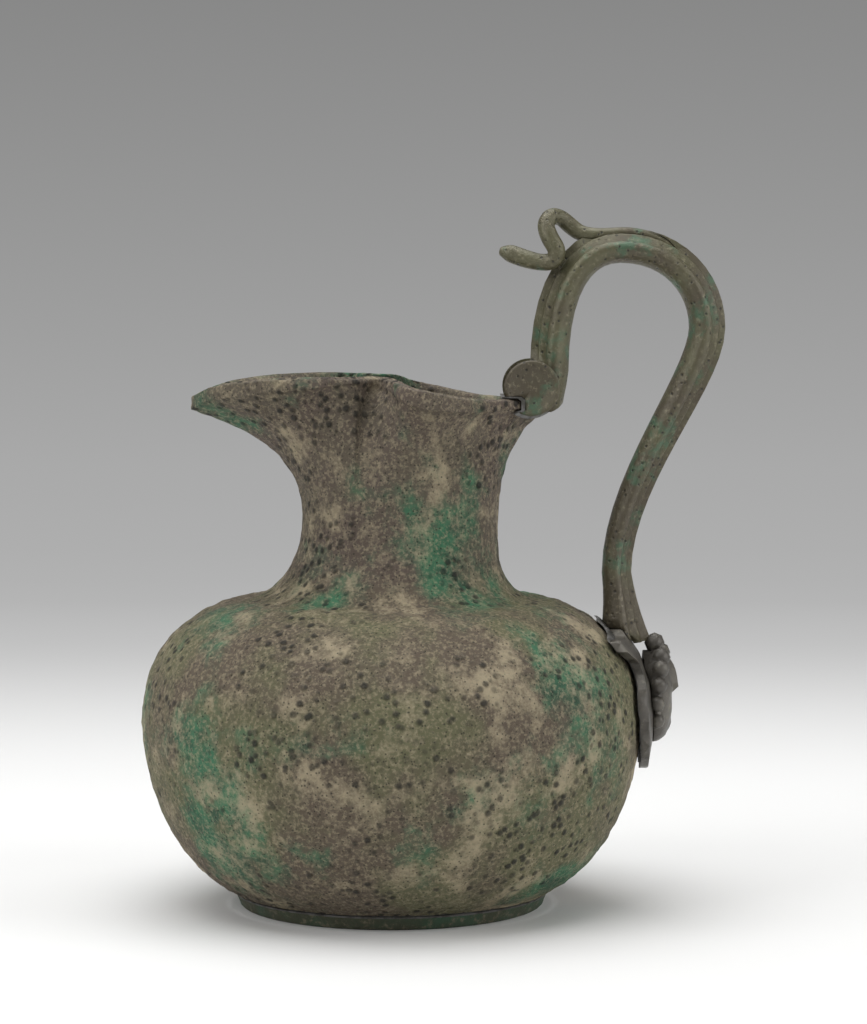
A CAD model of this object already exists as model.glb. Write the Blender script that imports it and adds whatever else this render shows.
import math

import bmesh
import bpy
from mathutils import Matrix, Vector, noise


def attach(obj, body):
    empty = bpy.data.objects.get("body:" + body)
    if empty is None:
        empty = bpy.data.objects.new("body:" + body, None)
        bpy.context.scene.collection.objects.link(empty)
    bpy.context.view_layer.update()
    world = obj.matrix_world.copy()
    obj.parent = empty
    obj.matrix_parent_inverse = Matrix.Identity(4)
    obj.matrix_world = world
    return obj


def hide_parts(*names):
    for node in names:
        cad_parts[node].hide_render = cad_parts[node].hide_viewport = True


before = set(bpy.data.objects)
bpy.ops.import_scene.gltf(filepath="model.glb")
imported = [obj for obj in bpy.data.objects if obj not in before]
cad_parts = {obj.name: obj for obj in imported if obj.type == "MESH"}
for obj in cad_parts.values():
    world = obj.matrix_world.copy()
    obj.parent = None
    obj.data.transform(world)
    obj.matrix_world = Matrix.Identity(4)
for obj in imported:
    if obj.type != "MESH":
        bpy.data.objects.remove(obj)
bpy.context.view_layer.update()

# Camera. It stands level with the handle, straight in front of the jug's side, with the spout to the left,
# and looks a little down. The frame is 867 by 1024.
sensor_width = 36
lens_length = 116.0156
camera_place = (0.0118, -0.924, 0.175)
camera_pitch = 4
camera_data = bpy.data.cameras.new("camera")
camera_data.sensor_width = sensor_width
camera_data.lens = lens_length
camera = bpy.data.objects.new("camera", camera_data)
camera.location = camera_place
camera.rotation_euler = (math.radians(90 - camera_pitch), 0, 0)
bpy.context.collection.objects.link(camera)
bpy.context.scene.camera = camera
bpy.context.scene.view_settings.view_transform = "Standard"

# Studio. A pale sheet runs from under the jug to the back and curves up behind it; it is bright in front and falls
# off to grey further up. Three soft boxes light the jug: a large one overhead, one at the left and one at the right.
sheet_half_width = 4.0
sheet_front = -2.5
bend_start = 1.0
bend_radius = 1.0
bend_steps = 12
wall_top = 3.0
sheet_profile = [(sheet_front, 0.0), (0.0, 0.0), (bend_start, 0.0)]
for step in range(1, bend_steps + 1):
    turn = math.radians(90 * step / bend_steps)
    sheet_profile.append((bend_start + bend_radius * math.sin(turn), bend_radius * (1 - math.cos(turn))))
sheet_profile.append((bend_start + bend_radius, wall_top))
sheet_points = [(side * sheet_half_width, y, z) for y, z in sheet_profile for side in (-1, 1)]
sheet_faces = [(2 * row, 2 * row + 1, 2 * row + 3, 2 * row + 2) for row in range(len(sheet_profile) - 1)]
sheet_mesh = bpy.data.meshes.new("studio_sheet")
sheet_mesh.from_pydata(sheet_points, [], sheet_faces)
sheet_mesh.shade_smooth()
studio_sheet = bpy.data.objects.new("studio_sheet", sheet_mesh)
bpy.context.collection.objects.link(studio_sheet)


class Layers:
    """A material that is built up node by node."""

    def __init__(self, name):
        self.material = bpy.data.materials.new(name)
        self.material.use_nodes = True
        self.tree = self.material.node_tree
        self.place = self.add("ShaderNodeTexCoord").outputs["Object"]
        axes = self.add("ShaderNodeSeparateXYZ")
        self.join(self.place, axes.inputs["Vector"])
        self.axes = axes.outputs

    def add(self, kind):
        return self.tree.nodes.new(kind)

    def join(self, source, target):
        self.tree.links.new(source, target)

    def band(self, value, low, high, change="SMOOTHSTEP"):
        """0 as far as low, 1 from high on."""
        node = self.add("ShaderNodeMapRange")
        node.interpolation_type = change
        node.inputs["From Min"].default_value = low
        node.inputs["From Max"].default_value = high
        self.join(value, node.inputs["Value"])
        return node.outputs["Result"]

    def reckon(self, first, second, way="MULTIPLY"):
        """The product of two values, or their sum or the greater of them."""
        node = self.add("ShaderNodeMath")
        node.operation = way
        for socket, value in zip(node.inputs, (first, second)):
            if isinstance(value, (int, float)):
                socket.default_value = value
            else:
                self.join(value, socket)
        return node.outputs["Value"]

    def over(self, share, under, top):
        """One tone laid over another, fully so where the share is 1."""
        node = self.add("ShaderNodeMix")
        node.data_type = "RGBA"
        self.join(share, node.inputs["Factor"])
        for socket, tone in ((node.inputs["A"], under), (node.inputs["B"], top)):
            if isinstance(tone, tuple):
                socket.default_value = (*tone, 1)
            else:
                self.join(tone, socket)
        return node.outputs["Result"]


paper_white = (0.78, 0.78, 0.775)
floor_reach = (-0.5, 2.0)
floor_tones = [(0.0, 0.82), (0.2, 0.80), (0.33, 0.66), (0.55, 0.46), (1.0, 0.30)]
wall_grey = (0.17, 0.17, 0.168)
wall_fade = (0.05, 0.75)
own_tone_reach = (0.1, 0.7)
paper = Layers("paper")
paper.tree.nodes.remove(paper.tree.nodes["Principled BSDF"])
fall = paper.add("ShaderNodeValToRGB")
while len(fall.color_ramp.elements) < len(floor_tones):
    fall.color_ramp.elements.new(0.5)
for stop, (share, tone) in zip(fall.color_ramp.elements, floor_tones):
    stop.position = share
    stop.color = (tone, tone, tone, 1)
paper.join(paper.band(paper.axes["Y"], *floor_reach, "LINEAR"), fall.inputs["Fac"])
backdrop_tone = paper.over(paper.band(paper.axes["Z"], *wall_fade, "LINEAR"), fall.outputs["Color"], wall_grey)
matt = paper.add("ShaderNodeBsdfDiffuse")
matt.inputs["Color"].default_value = (*paper_white, 1)
glow = paper.add("ShaderNodeEmission")
paper.join(backdrop_tone, glow.inputs["Color"])
rays = paper.add("ShaderNodeLightPath")
seen = paper.reckon(rays.outputs["Is Camera Ray"], rays.outputs["Is Glossy Ray"], "MAXIMUM")
blend = paper.add("ShaderNodeMixShader")
paper.join(paper.reckon(paper.band(paper.axes["Y"], *own_tone_reach), seen), blend.inputs["Fac"])
paper.join(matt.outputs["BSDF"], blend.inputs[1])
paper.join(glow.outputs["Emission"], blend.inputs[2])
paper.join(blend.outputs["Shader"], paper.tree.nodes["Material Output"].inputs["Surface"])
sheet_mesh.materials.append(paper.material)

room_grey = (0.42, 0.42, 0.42)
room_strength = 0.55
room = bpy.data.worlds.new("studio")
room.use_nodes = True
room.node_tree.nodes["Background"].inputs["Color"].default_value = (*room_grey, 1)
room.node_tree.nodes["Background"].inputs["Strength"].default_value = room_strength
bpy.context.scene.world = room

jug_middle = Vector((0, 0, 0.09))
soft_boxes = [  # name, place, width and watts
    ("overhead_box", (-0.1, 0.1, 1.25), 1.3, 17),
    ("left_box", (-1.1, -0.7, 0.75), 0.9, 9),
    ("right_box", (1.15, -0.35, 0.5), 0.8, 7),
]
for name, place, width, watts in soft_boxes:
    lamp = bpy.data.lights.new(name, "AREA")
    lamp.size = width
    lamp.energy = watts
    box = bpy.data.objects.new(name, lamp)
    box.location = place
    box.rotation_euler = (jug_middle - Vector(place)).to_track_quat("-Z", "Y").to_euler()
    bpy.context.collection.objects.link(box)

# Body. Belly, neck and trefoil mouth are one bronze casting. Long burial has covered it with a warty crust of
# green, olive and tan corrosion; the crust is laid into the outer skin, so the casting keeps its size.
merge_gap = 0.000005
any_angle = 3.2


def casting(name, node, levels=0, crease=0):
    """A finer piece in the shape of one of the jug's solids; it stays sharp at edges steeper than the crease."""
    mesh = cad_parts[node].data.copy()
    shape = bmesh.new()
    shape.from_mesh(mesh)
    bmesh.ops.remove_doubles(shape, verts=shape.verts, dist=merge_gap)
    if levels:
        bmesh.ops.join_triangles(shape, faces=shape.faces, angle_face_threshold=any_angle,
                                 angle_shape_threshold=any_angle)
    shape.to_mesh(mesh)
    shape.free()
    piece = bpy.data.objects.new(name, mesh)
    bpy.context.collection.objects.link(piece)
    if levels:
        finer = piece.modifiers.new("finer", "SUBSURF")
        finer.levels = levels
        finer.render_levels = levels
        shaped = piece.evaluated_get(bpy.context.evaluated_depsgraph_get())
        piece.data = bpy.data.meshes.new_from_object(shaped)
        piece.modifiers.clear()
    piece.data.name = name
    piece.data.materials.clear()
    piece.data.shade_smooth()
    if crease:
        piece.data.set_sharp_from_angle(angle=math.radians(crease))
    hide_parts(node)
    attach(piece, "root")
    return piece


crust_depth = 0.0009
inside_share = 0.3
foot_hollow = 0.02
wart_size = 0.0042
wart_reach = 0.62
wart_roundness = 0.7
wart_part = 0.55
least_cluster = 0.35
clusters_per_metre = 34
grain_part = 0.45
grains_per_metre = 420


def crust_height(point):
    """Height of the crust over a point, from 0 in a pit to 1 on the crown of a wart."""
    cluster = noise.noise(point * clusters_per_metre) * 0.5 + 0.5
    near, _ = noise.voronoi(point / wart_size)
    crown = max(0.0, 1 - near[0] / wart_reach) ** wart_roundness
    grain = noise.fractal(point * grains_per_metre, 1.0, 2.1, 3) * 0.5 + 0.5
    return min(1.0, max(0.0, wart_part * crown * (least_cluster + cluster) + grain_part * grain))


body = casting("body_crust", "body_shell", levels=2)
skin = [(vertex.co.copy(), vertex.normal.copy()) for vertex in body.data.vertices]
crusted = []
for point, normal in skin:
    outside = normal.x * point.x + normal.y * point.y > 0 or (point.z < foot_hollow and normal.z < 0)
    depth_here = crust_depth if outside else crust_depth * inside_share
    crusted.extend(point - normal * depth_here * (1 - crust_height(point)))
body.data.vertices.foreach_set("co", crusted)
body.data.update()


class Coat(Layers):
    """One coat of patina: the metal's own tone, with others laid over it in patches, specks and pits."""

    def __init__(self, name, metal, sheen, tone, patches_of, **patches):
        super().__init__(name)
        self.shader = self.tree.nodes["Principled BSDF"]
        self.shader.inputs["Metallic"].default_value = metal
        self.shader.inputs["Specular IOR Level"].default_value = sheen
        self.tone = self.over(self.patches(**patches), tone, patches_of)

    def moved(self, offset):
        shift = self.add("ShaderNodeMapping")
        shift.inputs["Location"].default_value = offset
        self.join(self.place, shift.inputs["Vector"])
        return shift.outputs["Vector"]

    def cloud(self, per_metre, detail=5, rough=0.6, offset=(0, 0, 0)):
        node = self.add("ShaderNodeTexNoise")
        node.inputs["Scale"].default_value = per_metre
        node.inputs["Detail"].default_value = detail
        node.inputs["Roughness"].default_value = rough
        self.join(self.moved(offset), node.inputs["Vector"])
        return node.outputs["Fac"]

    def patches(self, per_metre, starts, full, **texture):
        """Ragged patches: none where the pattern is under starts, solid where it is over full."""
        return self.band(self.cloud(per_metre, **texture), starts, full)

    def dots(self, per_metre, edge, core, offset=(0, 0, 0)):
        """Round dots: none beyond the edge, solid within the core."""
        node = self.add("ShaderNodeTexVoronoi")
        node.inputs["Scale"].default_value = per_metre
        self.join(self.moved(offset), node.inputs["Vector"])
        return self.band(node.outputs["Distance"], edge, core)

    def lay(self, tone, share, strength=1.0):
        """Lays a tone over those already there."""
        if strength < 1:
            share = self.reckon(share, strength)
        self.tone = self.over(share, self.tone, tone)

    def finish(self, least_rough, rough_spread, rough_per_metre, relief, depth, rough_detail=5):
        """Gives the coat its uneven sheen and its relief."""
        wander = self.reckon(self.cloud(rough_per_metre, rough_detail), rough_spread)
        self.join(self.tone, self.shader.inputs["Base Color"])
        self.join(self.reckon(wander, least_rough, "ADD"), self.shader.inputs["Roughness"])
        bump = self.add("ShaderNodeBump")
        bump.inputs["Strength"].default_value = 1.0
        bump.inputs["Distance"].default_value = depth
        self.join(relief, bump.inputs["Height"])
        self.join(bump.outputs["Normal"], self.shader.inputs["Normal"])
        return self.material


brown = (0.105, 0.082, 0.058)
olive = (0.120, 0.118, 0.062)
violet_brown = (0.098, 0.074, 0.062)
tan_earth = (0.400, 0.340, 0.225)
malachite = (0.045, 0.165, 0.085)
deep_green = (0.030, 0.085, 0.048)
pit_black = (0.012, 0.012, 0.010)
shoulder_top = 0.088
neck_foot = 0.098
crust = Coat("crusted_bronze", metal=0.0, sheen=0.35, tone=brown, patches_of=olive,
             per_metre=28, detail=6, starts=0.42, full=0.6)
crust.lay(violet_brown, crust.band(crust.axes["Z"], shoulder_top, neck_foot), strength=0.7)
greens = crust.over(crust.patches(per_metre=120, starts=0.4, full=0.62), deep_green, malachite)
crust.lay(greens, crust.patches(per_metre=24, detail=8, rough=0.65, offset=(0.31, 0.12, 0.4), starts=0.49, full=0.62))
earth = crust.patches(per_metre=60, detail=9, rough=0.72, offset=(0.7, 0.2, 0.1), starts=0.5, full=0.66)
crust.lay(tan_earth, earth, strength=0.8)
crust.lay(tan_earth, crust.patches(per_metre=900, detail=4, rough=0.7, starts=0.46, full=0.66), strength=0.45)
wart_field = crust.patches(per_metre=42, detail=4, offset=(0.2, 0.9, 0.3), starts=0.40, full=0.58)
dark_warts = crust.reckon(crust.dots(per_metre=330, edge=0.42, core=0.16), wart_field)
crust.lay(pit_black, dark_warts, strength=0.85)
crust.lay(pit_black, crust.dots(per_metre=760, edge=0.28, core=0.10, offset=(0.3, 0.1, 0.2)), strength=0.75)
crust_relief = crust.reckon(crust.reckon(dark_warts, 0.9), crust.cloud(per_metre=700, detail=6, rough=0.7), "ADD")
body.data.materials.append(crust.finish(least_rough=0.62, rough_spread=0.25, rough_per_metre=300, rough_detail=4,
                                        relief=crust_relief, depth=0.0009))

# Foot. Ring, floor, raised rings and centre boss underneath are turned from one casting, and it is soldered on.
# Its patina is dark green.
turned_edge = 35
foot_brown = (0.055, 0.060, 0.036)
foot_green = (0.040, 0.085, 0.050)
foot_dust = (0.17, 0.15, 0.10)
foot = casting("foot_ring", "turned_foot", crease=turned_edge)
foot_patina = Coat("foot_patina", metal=0.1, sheen=0.4, tone=foot_brown, patches_of=foot_green,
                   per_metre=60, detail=6, starts=0.4, full=0.65)
foot_patina.lay(foot_dust, foot_patina.patches(per_metre=500, detail=6, rough=0.7, starts=0.5, full=0.7))
foot.data.materials.append(foot_patina.finish(least_rough=0.5, rough_spread=0.3, rough_per_metre=200,
                                              relief=foot_patina.cloud(600, detail=6, rough=0.7), depth=0.0005))

# Solder. Dull grey lead-tin solder fills the joint over the foot, the bed under the clasp and the bed behind the
# lower plate.
solder_grey = (0.16, 0.155, 0.15)
solder_dark = (0.07, 0.068, 0.06)
solder = Coat("soft_solder", metal=0.5, sheen=0.5, tone=solder_grey, patches_of=solder_dark,
              per_metre=300, starts=0.4, full=0.6)
solder.finish(least_rough=0.4, rough_spread=0.3, rough_per_metre=200, relief=solder.cloud(500), depth=0.0003)
for node in ("foot_seam", "rim_solder", "plate_solder"):
    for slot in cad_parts[node].material_slots:
        slot.material = solder.material

# Handle. One cast strap with five ribs on its outer side clasps the back of the lip between two roundels.
# Handling has kept it smoother than the body: dark olive with brown and green patches.
rib_edge = 38
strap_brown = (0.075, 0.062, 0.040)
strap_olive = (0.105, 0.100, 0.055)
strap_green = (0.055, 0.120, 0.070)
strap_dust = (0.27, 0.24, 0.16)
strap_black = (0.02, 0.018, 0.014)
handle = casting("handle_strap", "handle_bow", crease=rib_edge)
smooth = Coat("smooth_bronze", metal=0.25, sheen=0.5, tone=strap_brown, patches_of=strap_olive,
              per_metre=55, detail=6, starts=0.38, full=0.62)
strap_patches = smooth.patches(per_metre=90, detail=7, rough=0.65, offset=(0.2, 0.3, 0.7), starts=0.54, full=0.66)
smooth.lay(strap_green, strap_patches, strength=0.8)
smooth.lay(strap_dust, smooth.patches(per_metre=800, rough=0.7, starts=0.52, full=0.7), strength=0.5)
smooth.lay(strap_black, smooth.dots(per_metre=500, edge=0.22, core=0.08))
strap_pits = smooth.reckon(smooth.dots(per_metre=500, edge=0.3, core=0.1), -0.5)
strap_relief = smooth.reckon(smooth.cloud(per_metre=450, detail=6, rough=0.65), strap_pits, "ADD")
handle.data.materials.append(smooth.finish(least_rough=0.27, rough_spread=0.35, rough_per_metre=150,
                                           relief=strap_relief, depth=0.00035))

# Roundels. A disc with a raised border closes each end of the spool across the back of the lip; both are bronze,
# as smooth as the handle.
for name, node in (("near_roundel", "roundel_near"), ("far_roundel", "roundel_far")):
    roundel = casting(name, node, crease=turned_edge)
    roundel.data.materials.append(smooth.material)

# Snake. It rises from the crest of the handle, folds over and rests its head in front of the arch as a thumb rest.
# It is bronze, cast with the handle.
snake = casting("snake", "snake_thumb_rest", levels=1)
snake.data.materials.append(smooth.material)

# Lower plate and head. The leaf-shaped plate carries a small head in high relief, cast with it, under the splayed
# end of the handle. Dark grey-brown patina with a soft sheen.
plate_edge = 35
head_edge = 50
plate_brown = (0.075, 0.068, 0.058)
plate_grey = (0.130, 0.120, 0.100)
plate_dust = (0.22, 0.20, 0.15)
dark = Coat("dark_bronze", metal=0.3, sheen=0.5, tone=plate_brown, patches_of=plate_grey,
            per_metre=90, detail=6, starts=0.4, full=0.62)
dark.lay(plate_dust, dark.patches(per_metre=400, detail=6, rough=0.7, starts=0.54, full=0.7), strength=0.5)
dark.finish(least_rough=0.3, rough_spread=0.3, rough_per_metre=180, relief=dark.cloud(500, detail=6), depth=0.00025)
for name, node, crease in (("leaf_plate", "lower_plate", plate_edge), ("small_head", "mask_head", head_edge)):
    piece = casting(name, node, crease=crease)
    piece.data.materials.append(dark.material)
